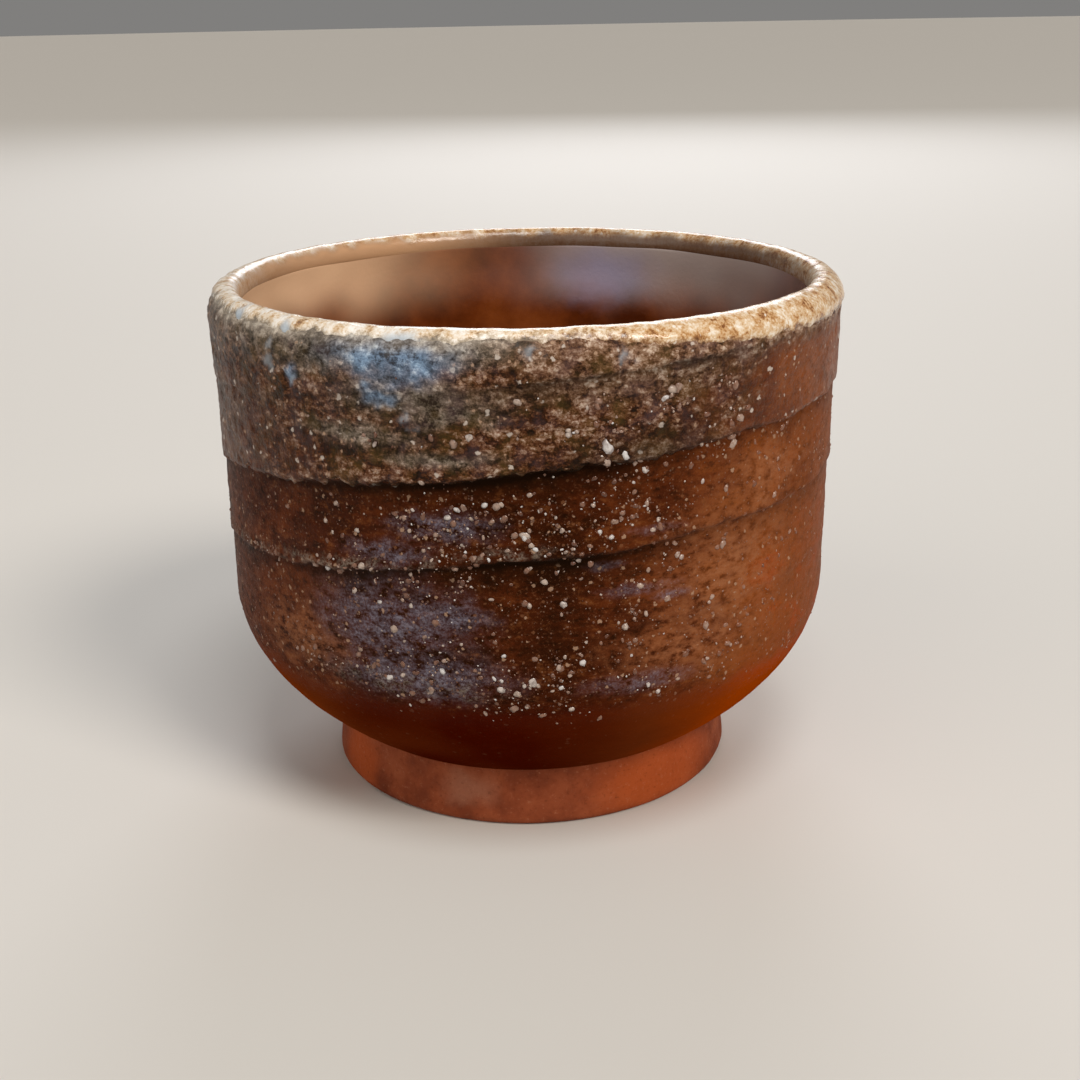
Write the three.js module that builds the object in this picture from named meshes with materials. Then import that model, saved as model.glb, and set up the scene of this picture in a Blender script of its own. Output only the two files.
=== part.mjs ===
// A wheel-thrown, wood-fired stoneware sake cup: a clay bowl on a luted foot ring, with the three glaze
// layers that the kiln left on it. Millimetres, +Z up. The origin is the centre of the foot's resting face,
// -Y is the front of the cup, and angles run from the front towards +X.
import * as THREE from "three";
import { mergeVertices } from "three/addons/utils/BufferGeometryUtils.js";

// Foot ring
const footHeight = 6;
const footSeatRadius = 20.5; // outside of the ring where it meets the bowl
const footFlare = 0.4; // how much wider the ring is at the resting face
const footRingWidth = 5;
const footEdgeRound = 0.8;

// Bowl, outside
const cupHeight = 51; // to the crest of the glazed lip
const bellyRise = 15; // height of the rounded belly above the foot
const bellyRadius = 30.55; // outside of the wall where the belly ends
const bellyFootSlope = 35; // degrees from level where the belly leaves the foot
const bellyFootPull = 6.2; // how far the belly keeps that slope
const bellyWallPull = 6.8; // how far the belly runs upright into the wall
const mouthFlare = 0.5; // how much wider the wall is just below the lip
const mouthLean = 0.3; // how far the mouth stands off the foot's centre, towards +X

// Bowl, inside
const wallThickness = 4;
const floorThickness = 5;
const wellRise = 10; // height of the rounded corner between floor and wall
const wellWallPull = 7; // how far that corner runs upright
const wellFloorPull = 16; // how far the floor runs level from the centre
const lipTaper = 12; // stretch below the lip in which the wall thins to the lip
const lipThickness = 2.6;
const lipOuterDrop = 2.2; // from the crest of the lip down to the upright wall
const lipInnerRound = 0.8; // from the crest of the lip to its inner side
const lipInnerDrop = 1.2;

// Throwing spiral on the outside, one low ridge that climbs round the wall
const ridgePitch = 7.8;
const ridgeDepth = 0.35;
const ridgeTilt = 1.6; // extra rise of the ridge from the front to the right-hand side

// Glaze layers
const ashDepth = 12.1; // from the crest of the lip down to the ash coat's lower edge, at the front
const ashTilt = 2.8; // rise of that edge from the front to the right-hand side
const ashThickness = 0.4;
const lipGlazeThickness = 0.4;
const linerThickness = 0.35;

// Facets
const turnSteps = 48; // round the cup
const bellySteps = 7;
const bareWallSteps = 13; // from the belly to the ash coat's edge
const coatedWallSteps = 7; // from that edge to the lip
const lipSteps = 4; // in each half of the lip's roll
const insideWallSteps = 6;
const wellSteps = 8;
const footEdgeSteps = 3;

// Heights and radii that follow from the sizes above
const wallBottom = footHeight + bellyRise;
const mouthRadius = bellyRadius + mouthFlare;
const lipTop = cupHeight - lipGlazeThickness;
const lipBase = lipTop - lipOuterDrop;
const lipInnerRadius = mouthRadius - lipThickness;
const lipCrestRadius = lipInnerRadius + lipInnerRound;
const lipInnerBase = lipTop - lipInnerDrop;
const insideRadius = bellyRadius - wallThickness;
const floorTop = footHeight + floorThickness;

const { degToRad, lerp, smoothstep } = THREE.MathUtils;
const fullTurn = 2 * Math.PI;
const quarterTurn = Math.PI / 2;

function point(radius, height) {
  return new THREE.Vector2(radius, height);
}

// The height of the ash coat's lower edge.
function ashLine(angle) {
  return cupHeight - ashDepth + ashTilt * Math.sin(angle);
}

// How far the throwing ridge stands out of the wall. It fades into the belly and below the lip.
function ridge(angle, height) {
  const climb = ridgeTilt * Math.sin(angle) + (ridgePitch * angle) / fullTurn;
  const turns = (height - (cupHeight - ashDepth) - climb) / ridgePitch;
  const fadeIn = smoothstep(height, wallBottom - ridgePitch, wallBottom);
  const fadeOut = 1 - smoothstep(height, lipBase - ridgePitch / 2, lipBase);
  return ((ridgeDepth * (1 + Math.cos(fullTurn * turns))) / 2) * fadeIn * fadeOut;
}

// A point of the outer wall, which widens slowly and then faster towards the mouth.
function wallPoint(angle, height) {
  const rise = (height - wallBottom) / (lipBase - wallBottom);
  const radius = lerp(bellyRadius, mouthRadius, rise ** 3);
  return point(radius + ridge(angle, height), height);
}

// Points of the outer wall from one height up to just below another.
function wallPoints(angle, from, to, steps) {
  return Array.from({ length: steps }, (_, i) => wallPoint(angle, lerp(from, to, i / steps)));
}

const bellyCurve = new THREE.CubicBezierCurve(
  point(footSeatRadius, footHeight),
  point(
    footSeatRadius + bellyFootPull * Math.cos(degToRad(bellyFootSlope)),
    footHeight + bellyFootPull * Math.sin(degToRad(bellyFootSlope)),
  ),
  point(bellyRadius, wallBottom - bellyWallPull),
  point(bellyRadius, wallBottom),
);

const lipOuterCurve = new THREE.EllipseCurve(
  lipCrestRadius,
  lipBase,
  mouthRadius - lipCrestRadius,
  lipOuterDrop,
  0,
  quarterTurn,
);

const lipInnerCurve = new THREE.EllipseCurve(
  lipCrestRadius,
  lipInnerBase,
  lipInnerRound,
  lipInnerDrop,
  quarterTurn,
  2 * quarterTurn,
);

const insideWallCurve = new THREE.CubicBezierCurve(
  point(lipInnerRadius, lipInnerBase),
  point(lipInnerRadius, lipInnerBase - lipTaper / 2),
  point(insideRadius, lipInnerBase - lipTaper / 2),
  point(insideRadius, floorTop + wellRise),
);

const wellCurve = new THREE.CubicBezierCurve(
  point(insideRadius, floorTop + wellRise),
  point(insideRadius, floorTop + wellRise - wellWallPull),
  point(wellFloorPull, floorTop),
  point(0, floorTop),
);

// The bowl's half section at one angle, from the axis under the floor, up the outside, over the lip and down
// the inside to the axis again. Each stretch stops just short of the next one's first point.
function bowlStretches(angle) {
  const belly = bellyCurve.getPoints(bellySteps).slice(0, -1);
  const edge = ashLine(angle);
  return {
    underside: [point(0, footHeight)],
    belly: belly.map((p) => point(p.x + ridge(angle, p.y), p.y)),
    bareWall: wallPoints(angle, wallBottom, edge, bareWallSteps),
    coatedWall: wallPoints(angle, edge, lipBase, coatedWallSteps),
    lip: [
      ...lipOuterCurve.getPoints(lipSteps).slice(0, -1),
      ...lipInnerCurve.getPoints(lipSteps).slice(0, -1),
    ],
    inside: [
      ...insideWallCurve.getPoints(insideWallSteps).slice(0, -1),
      ...wellCurve.getPoints(wellSteps),
    ],
  };
}

function bowlSection(angle) {
  return Object.values(bowlStretches(angle)).flat();
}

// The outward direction at a point of a section. A section that ends on the axis goes on as its mirror image.
function outward(section, index) {
  const before = section[index - 1];
  const after = section[index + 1] ?? point(-before.x, before.y);
  return point(after.y - before.y, before.x - after.x).normalize();
}

// The section of a layer of glaze on one stretch of the bowl. It shares the bowl's own points underneath.
function glazeSection(angle, stretchName, thickness) {
  const stretches = bowlStretches(angle);
  const section = Object.values(stretches).flat();
  const clay = section.slice(section.indexOf(stretches[stretchName][0]));
  const clayStart = section.length - clay.length;
  clay.length = Math.min(clay.length, stretches[stretchName].length + 1);
  const surface = clay.map((p, i) =>
    p.clone().addScaledVector(outward(section, clayStart + i), thickness),
  );
  return [...surface, ...clay.reverse(), surface[0]];
}

// The ring's section, round at its two edges on the table.
function footSection() {
  const outerBase = footSeatRadius + footFlare;
  const innerBase = outerBase - footRingWidth;
  const outerEdge = new THREE.EllipseCurve(
    outerBase - footEdgeRound,
    footEdgeRound,
    footEdgeRound,
    footEdgeRound,
    -quarterTurn,
    0,
  );
  const innerEdge = new THREE.EllipseCurve(
    innerBase + footEdgeRound,
    footEdgeRound,
    footEdgeRound,
    footEdgeRound,
    -2 * quarterTurn,
    -quarterTurn,
  );
  const outer = outerEdge.getPoints(footEdgeSteps);
  return [
    ...outer,
    point(footSeatRadius, footHeight),
    point(footSeatRadius - footRingWidth, footHeight),
    ...innerEdge.getPoints(footEdgeSteps),
    outer[0],
  ];
}

// Splits each four-sided facet of a turned shape along its shorter diagonal, so that two pieces that share
// four points share the facet too.
function splitFacets(geometry) {
  const position = geometry.getAttribute("position");
  const corner = (i) => new THREE.Vector3().fromBufferAttribute(position, i);
  const index = Array.from(geometry.index.array);
  for (let i = 0; i < index.length; i += 6) {
    const [a, b, d, c] = index.slice(i, i + 4);
    const acrossFirst = corner(a).distanceTo(corner(c));
    const acrossSecond = corner(b).distanceTo(corner(d));
    const facet = acrossFirst < acrossSecond ? [a, b, c, a, c, d] : [a, b, d, c, d, b];
    index.splice(i, facet.length, ...facet);
  }
  geometry.setIndex(index);
}

// Turns a section about the cup's axis. The section may differ from one angle to the next, and the axis
// leans a little, as on any cup thrown by hand.
function turned(sectionAt) {
  const firstSection = sectionAt(0);
  const geometry = new THREE.LatheGeometry(firstSection, turnSteps);
  const position = geometry.getAttribute("position");
  for (let step = 0; step <= turnSteps; step += 1) {
    const angle = ((step % turnSteps) / turnSteps) * fullTurn;
    sectionAt(angle).forEach((p, i) => {
      const lean = (mouthLean * p.y) / cupHeight;
      const vertex = step * firstSection.length + i;
      position.setXYZ(vertex, p.x * Math.sin(angle) + lean, -p.x * Math.cos(angle), p.y);
    });
  }
  geometry.deleteAttribute("normal");
  geometry.deleteAttribute("uv");
  splitFacets(geometry);
  const closed = mergeVertices(geometry);
  closed.computeVertexNormals();
  return closed;
}

function piece(name, sectionAt, color, roughness) {
  const material = new THREE.MeshStandardMaterial({ color, roughness, metalness: 0 });
  const mesh = new THREE.Mesh(turned(sectionAt), material);
  mesh.name = name;
  return mesh;
}

const sakeCup = new THREE.Group();
sakeCup.add(
  piece("foot_ring", footSection, "#8f4a30", 0.9),
  piece("bowl", bowlSection, "#5a3524", 0.6),
  piece("ash_coat", (angle) => glazeSection(angle, "coatedWall", ashThickness), "#6e5a44", 0.45),
  piece("lip_glaze", (angle) => glazeSection(angle, "lip", lipGlazeThickness), "#b98f5f", 0.2),
  piece("liner_glaze", (angle) => glazeSection(angle, "inside", linerThickness), "#552b14", 0.2),
);

export default sakeCup;
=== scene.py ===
import math
import random

import bmesh
import bpy
from mathutils import Matrix, Vector, noise
from mathutils.geometry import interpolate_bezier


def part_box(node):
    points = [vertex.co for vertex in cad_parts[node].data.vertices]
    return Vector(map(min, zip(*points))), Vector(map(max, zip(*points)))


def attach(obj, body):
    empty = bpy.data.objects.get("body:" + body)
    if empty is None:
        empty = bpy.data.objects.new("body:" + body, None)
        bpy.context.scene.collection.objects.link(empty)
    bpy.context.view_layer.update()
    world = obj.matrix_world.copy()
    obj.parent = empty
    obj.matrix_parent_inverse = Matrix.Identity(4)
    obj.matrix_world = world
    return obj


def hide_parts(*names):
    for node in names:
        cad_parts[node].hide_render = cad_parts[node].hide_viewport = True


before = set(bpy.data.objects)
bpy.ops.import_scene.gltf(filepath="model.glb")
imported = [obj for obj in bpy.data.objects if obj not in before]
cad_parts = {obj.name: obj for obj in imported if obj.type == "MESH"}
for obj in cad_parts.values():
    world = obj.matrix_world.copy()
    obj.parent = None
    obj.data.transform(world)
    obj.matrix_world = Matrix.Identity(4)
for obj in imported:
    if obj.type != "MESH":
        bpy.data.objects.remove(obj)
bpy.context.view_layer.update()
scene = bpy.context.scene
mm = 0.001  # pieces are shaped in millimetres and brought to metres at the end
print("frame loaded:", ", ".join(sorted(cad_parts)))


# sizes in millimetres, the outer ones taken from the frame
footLow, footHigh = (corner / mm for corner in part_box("foot_ring"))
lipLow, lipHigh = (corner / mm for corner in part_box("lip_glaze"))
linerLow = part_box("liner_glaze")[0] / mm

cup = {
    "rim": lipHigh.z,
    "rimRadius": (lipHigh.x - lipLow.x) / 2,  # outside, over the glaze
    "lean": (lipLow.x + lipHigh.x) / 2,  # how far the mouth stands off the foot's centre
    "glaze": 0.4,  # thickness over the lip
    "lipDrop": 2.2,  # from the top of the clay lip to the upright wall outside
    "lipThickness": 2.6,
    "lipRound": 0.8,  # from the lip's crest to its inside
    "innerDrop": 1.2,  # from the top of the clay lip to the upright wall inside
    "innerTaper": 7.2,  # depth below the lip at which the wall grows thicker
    "mouthFlare": 0.5,  # how much wider the clay is below the lip than at the belly
    "wall": 4,  # thickness above the belly
    "wallEase": (9, 18),  # how far above the belly the wall keeps its width
    "bellyRise": 15,  # from the foot ring to the belly's upper end
    "bellySwell": (5.1, 3.6),  # how far out and up the belly sets off from the foot ring
    "bellyEase": 6.8,  # how far below its upper end the belly turns upright
    "floor": linerLow.z,  # top of the clay inside
    "wellRise": 10,  # from the floor to where the inside starts to round in
    "wellEase": 3,  # height over the floor at which it rounds in most
    "wellFlat": 16,  # radius over which the floor evens out
    "foot": footHigh.z,  # height of the foot ring
    "footRadius": (footHigh.x - footLow.x) / 2,  # outside, on the table
    "footFlare": 0.4,  # how much narrower the ring is where the bowl sits on it
}
seatRadius = cup["footRadius"] - cup["footFlare"]
mouthRadius = cup["rimRadius"] - cup["glaze"]  # the clay just below the lip
bellyRadius = mouthRadius - cup["mouthFlare"]
bellyTop = cup["foot"] + cup["bellyRise"]
lipTop = cup["rim"] - cup["glaze"]
lipBase = lipTop - cup["lipDrop"]
lipInner = mouthRadius - cup["lipThickness"]
lipCrest = lipInner + cup["lipRound"]
innerTop = lipTop - cup["innerDrop"]
innerLow = lipTop - cup["innerTaper"]
insideRadius = bellyRadius - cup["wall"]
wellTop = cup["floor"] + cup["wellRise"]
fineness = 1  # share of the segments round the cup


def smooth(low, high, value):
    share = min(max((value - low) / (high - low), 0), 1)
    return share * share * (3 - 2 * share)


def hump(value, middle, reach):
    return math.exp(-(((value - middle) / reach) ** 2))


def grain(place, size, seed):
    # noise between -1 and 1, of some size in millimetres
    return noise.noise(place / size + Vector((seed * 7.3, seed * 3.1, seed * 5.7)))


def rough(place, layers):
    # noise of several sizes in one, as (strength, size, seed)
    return sum(strength * grain(place, size, seed) for strength, size, seed in layers)


def drawnOut(place, share):
    return Vector((place.x * share, place.y * share, place.z))  # noise there runs in lines round the cup


def angleOf(place):
    return math.atan2(place.x, -place.y)  # 0 at the front, growing towards +X


def away(angle, other):
    return (angle - other + math.pi) % (2 * math.pi) - math.pi


def spots(place, places, ragged=0.9, core=0.25):
    # how far a point lies inside any of some soft, ragged patches, each given as its angle in degrees,
    # its height and half its width and height in millimetres
    angle = angleOf(place)
    shiftAcross = ragged * (grain(place, 2.4, 51) + 0.6 * grain(place, 0.8, 52))
    shiftUp = ragged * (grain(place, 2.4, 53) + 0.6 * grain(place, 0.8, 54))
    most = 0
    for spotAngle, spotHeight, wide, tall in places:
        across = (away(angle, math.radians(spotAngle)) * bellyRadius + shiftAcross) / wide
        up = (place.z - spotHeight + shiftUp * min(tall / wide * 2, 1)) / tall
        most = max(most, 1 - smooth(core, 1, math.hypot(across, up)))
    return most


# half sections as bezier stretches of (radius, height)
undersideStretch = [(0, cup["foot"]), (6, cup["foot"]), (14, cup["foot"]), (seatRadius, cup["foot"])]
bellyStretch = [
    (seatRadius, cup["foot"]),
    (seatRadius + cup["bellySwell"][0], cup["foot"] + cup["bellySwell"][1]),
    (bellyRadius, bellyTop - cup["bellyEase"]),
    (bellyRadius, bellyTop),
]
wallStretch = [
    (bellyRadius, bellyTop),
    (bellyRadius, bellyTop + cup["wallEase"][0]),
    (bellyRadius, bellyTop + cup["wallEase"][1]),
    (mouthRadius, lipBase),
]
roundness = 0.5523  # handle length of a quarter circle
lipOuterStretch = [
    (mouthRadius, lipBase),
    (mouthRadius, lipBase + cup["lipDrop"] * roundness),
    (lipCrest + (mouthRadius - lipCrest) * roundness, lipTop),
    (lipCrest, lipTop),
]
lipInnerStretch = [
    (lipCrest, lipTop),
    (lipCrest - cup["lipRound"] * roundness, lipTop),
    (lipInner, lipTop - cup["innerDrop"] * (1 - roundness)),
    (lipInner, innerTop),
]
insideStretch = [
    (lipInner, innerTop),
    (lipInner, innerLow),
    (insideRadius, innerLow),
    (insideRadius, wellTop),
]
wellStretch = [
    (insideRadius, wellTop),
    (insideRadius, cup["floor"] + cup["wellEase"]),
    (cup["wellFlat"], cup["floor"]),
    (0, cup["floor"]),
]


def turn(stretches, segments):
    # turns a closed section, given as stretches with a count of rows and a share of the piece's map each;
    # "along" holds the number of the stretch and the way along it
    bm = bmesh.new()
    along = bm.verts.layers.float.new("along")
    line = []
    for number, (stretch, rows, _) in enumerate(stretches):
        handles = [Vector((0, -radius, height)) for radius, height in stretch]
        places = interpolate_bezier(*handles, rows + 1)
        if stretch[-1] == stretches[(number + 1) % len(stretches)][0][0]:
            places.pop()  # the next stretch starts there
        for row, place in enumerate(places):
            vert = bm.verts.new(place)
            vert[along] = number + min(row / rows, 0.999)  # never the next stretch's number
            line.append(vert)
    for one, other in zip(line, line[1:] + line[:1]):
        if one.co.y or other.co.y:  # nothing runs along the axis itself
            bm.edges.new((one, other))
    # a sixteenth is spun and then doubled four times, which is far quicker than one full spin
    doublings = 4
    wedge = 2 * math.pi / 2**doublings
    steps = max(round(segments * fineness / 2**doublings), 2)
    geometry = bm.verts[:] + bm.edges[:]
    bmesh.ops.spin(bm, geom=geometry, axis=(0, 0, 1), cent=(0, 0, 0), angle=wedge, steps=steps)
    for doubling in range(doublings):
        geometry = bm.verts[:] + bm.edges[:] + bm.faces[:]
        copies = bmesh.ops.duplicate(bm, geom=geometry)["geom"]
        verts = [part for part in copies if isinstance(part, bmesh.types.BMVert)]
        aside = Matrix.Rotation(wedge * 2**doubling, 3, "Z")
        bmesh.ops.rotate(bm, cent=(0, 0, 0), matrix=aside, verts=verts)
    bmesh.ops.remove_doubles(bm, verts=bm.verts[:], dist=0.001)
    bmesh.ops.recalc_face_normals(bm, faces=bm.faces[:])
    bm.normal_update()
    unwrap(bm, along, [share for *_, share in stretches])
    return bm, along


def unwrap(bm, along, shares):
    # the piece's own map for its baked colours: round the cup in u, along the section in v
    atlas = bm.loops.layers.uv.new("OFBake")
    count = len(shares)
    starts = [sum(shares[:number]) for number in range(count + 1)]
    for face in bm.faces:
        facing = angleOf(face.calc_center_median())
        furthest = max(vert[along] for vert in face.verts)
        for loop in face.loops:
            place = loop.vert.co
            turned = facing + away(angleOf(place), facing) if place.to_2d().length > 0.01 else facing
            way = loop.vert[along]
            if furthest - way > 1:
                way += count  # the last row joins the first one
            number = min(int(way), count - 1)
            height = starts[number] + (way - number) * shares[number]
            loop[atlas].uv = (0.5 + turned / (2 * math.pi), height / starts[-1])


def addPiece(bm, name, material, node=None):
    # leans the shape as the cup leans, brings it to metres and hands it to the frame
    lean = Matrix(((1, 0, cup["lean"] / cup["rim"], 0), (0, 1, 0, 0), (0, 0, 1, 0), (0, 0, 0, 1)))
    bmesh.ops.transform(bm, matrix=Matrix.Scale(mm, 4) @ lean, verts=bm.verts[:])
    mesh = bpy.data.meshes.new(name)
    bm.to_mesh(mesh)
    bm.free()
    mesh.shade_smooth()
    mesh.materials.append(material)
    piece = bpy.data.objects.new(name, mesh)
    scene.collection.objects.link(piece)
    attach(piece, "root")
    if node:
        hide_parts(node)
    print(name, "made with", len(mesh.polygons), "faces")


# what each piece tells its material about its surface, as one value from 0 to 1 for each vertex
masksOf = {
    "bowl": ("warmth", "haze", "veil", "dusk", "crevice", "crumbs", "bare", "sheen"),
    "foot": ("pale", "flush"),
    "coat": ("warmth", "blue", "grey", "thin", "gold", "pale", "milk", "crevice"),
    "lip": ("milk", "edge", "inward", "tan", "cool"),
    "liner": ("dust", "bloom", "violet"),
    "grit": ("tint", "pale", "warmth"),
}


def addMasks(bm, kind):
    return {name: bm.verts.layers.float.new(name) for name in masksOf[kind]}


# materials
def linear(hexColour):
    # an sRGB colour as the linear values that Blender works with
    parts = [int(hexColour[i : i + 2], 16) / 255 for i in (1, 3, 5)]
    return [p / 12.92 if p <= 0.04045 else ((p + 0.055) / 1.055) ** 2.4 for p in parts] + [1]


def perSize(size):
    return 1 / (size * mm)  # texture scale for a pattern of this size in millimetres


times, plus = {"operation": "MULTIPLY"}, {"operation": "ADD"}  # settings of a Math node


def addNode(tree, kind, settings=None, links=None, out=0):
    # adds a node and gives back one of its outputs, or the node itself where out is None
    made = tree.nodes.new("ShaderNode" + kind)
    for key, value in (settings or {}).items():
        if key == "stops":  # colour ramp as (place, colour) pairs
            ramp = made.color_ramp.elements
            while len(ramp) < len(value):
                ramp.new(1)
            for stop, (place, colour) in zip(ramp, value):
                stop.position = place
                stop.color = linear(colour)
        elif isinstance(key, int) or key in made.inputs:
            made.inputs[key].default_value = value
        else:
            setattr(made, key, value)
    for key, source in (links or {}).items():
        tree.links.new(source, made.inputs[key])
    return made if out is None else made.outputs[out]


def newMaterial(name, kind):
    # an empty material with the masks of the kind of piece that wears it
    material = bpy.data.materials.new(name)
    material.use_nodes = True
    tree = material.node_tree
    tree.nodes.clear()
    shader = addNode(tree, "BsdfPrincipled", out=None)
    addNode(tree, "OutputMaterial", links={0: shader.outputs[0]}, out=None)
    place = addNode(tree, "TexCoord", out="Object")
    masks = {
        mask: addNode(tree, "Attribute", {"attribute_name": mask}, out="Fac") for mask in masksOf[kind]
    }
    return material, tree, shader, place, masks


def pebbles(tree, place, size):
    # a loose pattern of uneven cells: a chance value for each one, and the distance from its middle
    wander = addNode(tree, "TexNoise", {"Scale": perSize(size * 0.5), "Detail": 2}, {0: place}, out=1)
    bent = addNode(
        tree, "VectorMath", {"operation": "MULTIPLY_ADD", 1: [0.6 * size * mm] * 3}, {0: wander, 2: place}
    )
    cells = addNode(tree, "TexVoronoi", {"Scale": perSize(size)}, {"Vector": bent}, out=None)
    return addNode(tree, "SeparateColor", links={0: cells.outputs["Color"]}), cells.outputs["Distance"]


def strewn(tree, place, size, rarity, reach):
    # flecks of unlike sizes in a share of the cells
    luck, distance = pebbles(tree, place, size)
    radius = addNode(tree, "MapRange", {"From Min": rarity, "To Max": reach}, {"Value": luck})
    edge = addNode(tree, "Math", {"operation": "SUBTRACT"}, {0: radius, 1: distance})
    return addNode(tree, "MapRange", {"From Max": 0.1}, {"Value": edge})


def overlay(tree, ground, layers):
    # lays colours over a ground one after another, each through its own mask of some strength
    for mask, strength, colour in layers:
        amount = addNode(tree, "Math", {"operation": "MULTIPLY", "use_clamp": True, 1: strength}, {0: mask})
        mixed = addNode(tree, "Mix", {"data_type": "RGBA"}, {0: amount, 6: ground}, out=None)
        if isinstance(colour, str):
            mixed.inputs[7].default_value = linear(colour)
        else:
            tree.links.new(colour, mixed.inputs[7])
        ground = mixed.outputs[2]
    return ground


def dress(tree, shader, colour, height, depth, smoothest, roughest):
    # the colour, a bump of a real depth in millimetres and a gloss that follows it
    tree.links.new(colour, shader.inputs["Base Color"])
    bump = addNode(tree, "Bump", {"Strength": 0.7, "Distance": depth * mm}, {"Height": height})
    tree.links.new(bump, shader.inputs["Normal"])
    settings = {"From Min": 0.3, "From Max": 0.7, "To Min": smoothest, "To Max": roughest}
    tree.links.new(addNode(tree, "MapRange", settings, {"Value": height}), shader.inputs["Roughness"])


def firedClay(tree, place, warmth):
    # the clay's own colours from dark brown to orange-red, drawn out sideways by the throwing,
    # with pits and grit
    sideways = addNode(tree, "Mapping", {"Scale": (1, 1, 1.7)}, {0: place})
    cloud = addNode(tree, "TexNoise", {"Scale": perSize(5), "Detail": 6, "Roughness": 0.65}, {0: sideways})
    mottle = addNode(
        tree, "TexNoise", {"Scale": perSize(1.3), "Detail": 4, "Roughness": 0.68}, {0: sideways}
    )
    grit = addNode(tree, "TexNoise", {"Scale": perSize(0.28), "Detail": 3, "Roughness": 0.7}, {0: place})
    drift = addNode(tree, "MapRange", {1: 0.28, 2: 0.72, 3: -0.2, 4: 0.2}, {0: cloud})
    cool = addNode(tree, "MapRange", {1: 0.35, 2: 0.9, 3: 1, 4: 0.2}, {0: warmth})
    pits = addNode(tree, "MapRange", {1: 0.5, 2: 0.68}, {0: mottle})
    pits = addNode(tree, "Math", times, {0: pits, 1: cool})
    heat = addNode(tree, "Math", plus, {0: warmth, 1: drift})
    stops = [(0, "#250c03"), (0.25, "#431a07"), (0.5, "#642f12")]
    stops += [(0.72, "#7f421a"), (0.88, "#874213"), (1, "#94400b")]
    ground = addNode(tree, "ValToRGB", {"stops": stops}, {"Fac": heat})
    layers = [
        (pits, 0.75, "#120501"),
        (addNode(tree, "MapRange", {1: 0.44, 2: 0.3}, {0: mottle}), 0.45, "#7f4b26"),
        (addNode(tree, "MapRange", {1: 0.56, 2: 0.72}, {0: grit}), 0.3, "#8e5f3f"),
        (addNode(tree, "MapRange", {1: 0.42, 2: 0.28}, {0: grit}), 0.4, "#140601"),
    ]
    return overlay(tree, ground, layers), mottle, grit


# Wood-fired stoneware: iron-rich clay, satin where fly ash has touched it, dark where the fire was long
# and orange-red where it only flashed, with white feldspar grit showing through, and with painted shade
# under the ledges and on the lower belly.
def firedStoneware():
    material, tree, shader, place, masks = newMaterial("woodFiredStoneware", "bowl")
    clay, mottle, grit = firedClay(tree, place, masks["warmth"])
    fleck = strewn(tree, place, 0.7, 0.6, 0.36)
    dust = strewn(tree, place, 0.45, 0.66, 0.4)
    powder = strewn(tree, place, 0.28, 0.72, 0.42)
    patchy = addNode(tree, "MapRange", {1: 0.62, 2: 0.4}, {0: mottle})
    speckle = addNode(tree, "MapRange", {1: 0.4, 2: 0.6}, {0: grit})
    # violet-grey haze with pale bluish grains: partly the ash's own haze, partly a painted reflection of a
    # cool sky
    haze = addNode(tree, "Math", times, {0: masks["haze"], 1: patchy})
    hazeGrainsAndPaintedGlints = addNode(tree, "Math", times, {0: haze, 1: speckle})
    veil = addNode(tree, "Math", times, {0: masks["veil"], 1: patchy})
    crumbs = addNode(tree, "Math", times, {0: masks["crumbs"], 1: speckle})
    stops = [(0.12, "#420c00"), (0.45, "#642a0c"), (0.9, "#983c00")]
    belly = addNode(tree, "ValToRGB", {"stops": stops}, {"Fac": masks["warmth"]})
    layers = [
        (veil, 0.65, "#9c6442"),
        (haze, 0.65, "#504853"),
        (hazeGrainsAndPaintedGlints, 0.55, "#8a8b9c"),
        (powder, 0.4, "#8f7566"),
        (dust, 0.4, "#875b3e"),
        (fleck, 0.7, "#ad8c73"),
        # painted shade: the lower belly darker red-brown
        (masks["dusk"], 0.93, belly),
        (crumbs, 0.6, "#a39a8c"),
        # painted shade under the ledges
        (masks["crevice"], 1, "#0d0401"),
        (masks["bare"], 1, "#7d442e"),
    ]
    colour = overlay(tree, clay, layers)
    lower = addNode(tree, "Mix", {0: 0.45}, {2: mottle, 3: grit})
    height = addNode(tree, "Math", {"operation": "MULTIPLY_ADD", 1: 0.2}, {0: fleck, 2: lower})
    dress(tree, shader, colour, height, 0.16, 0.36, 0.6)
    tree.links.new(masks["sheen"], shader.inputs["Specular IOR Level"])
    shader.inputs["Specular Tint"].default_value = linear("#cc9266")  # the sheen of an iron-rich surface
    return material


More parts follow.
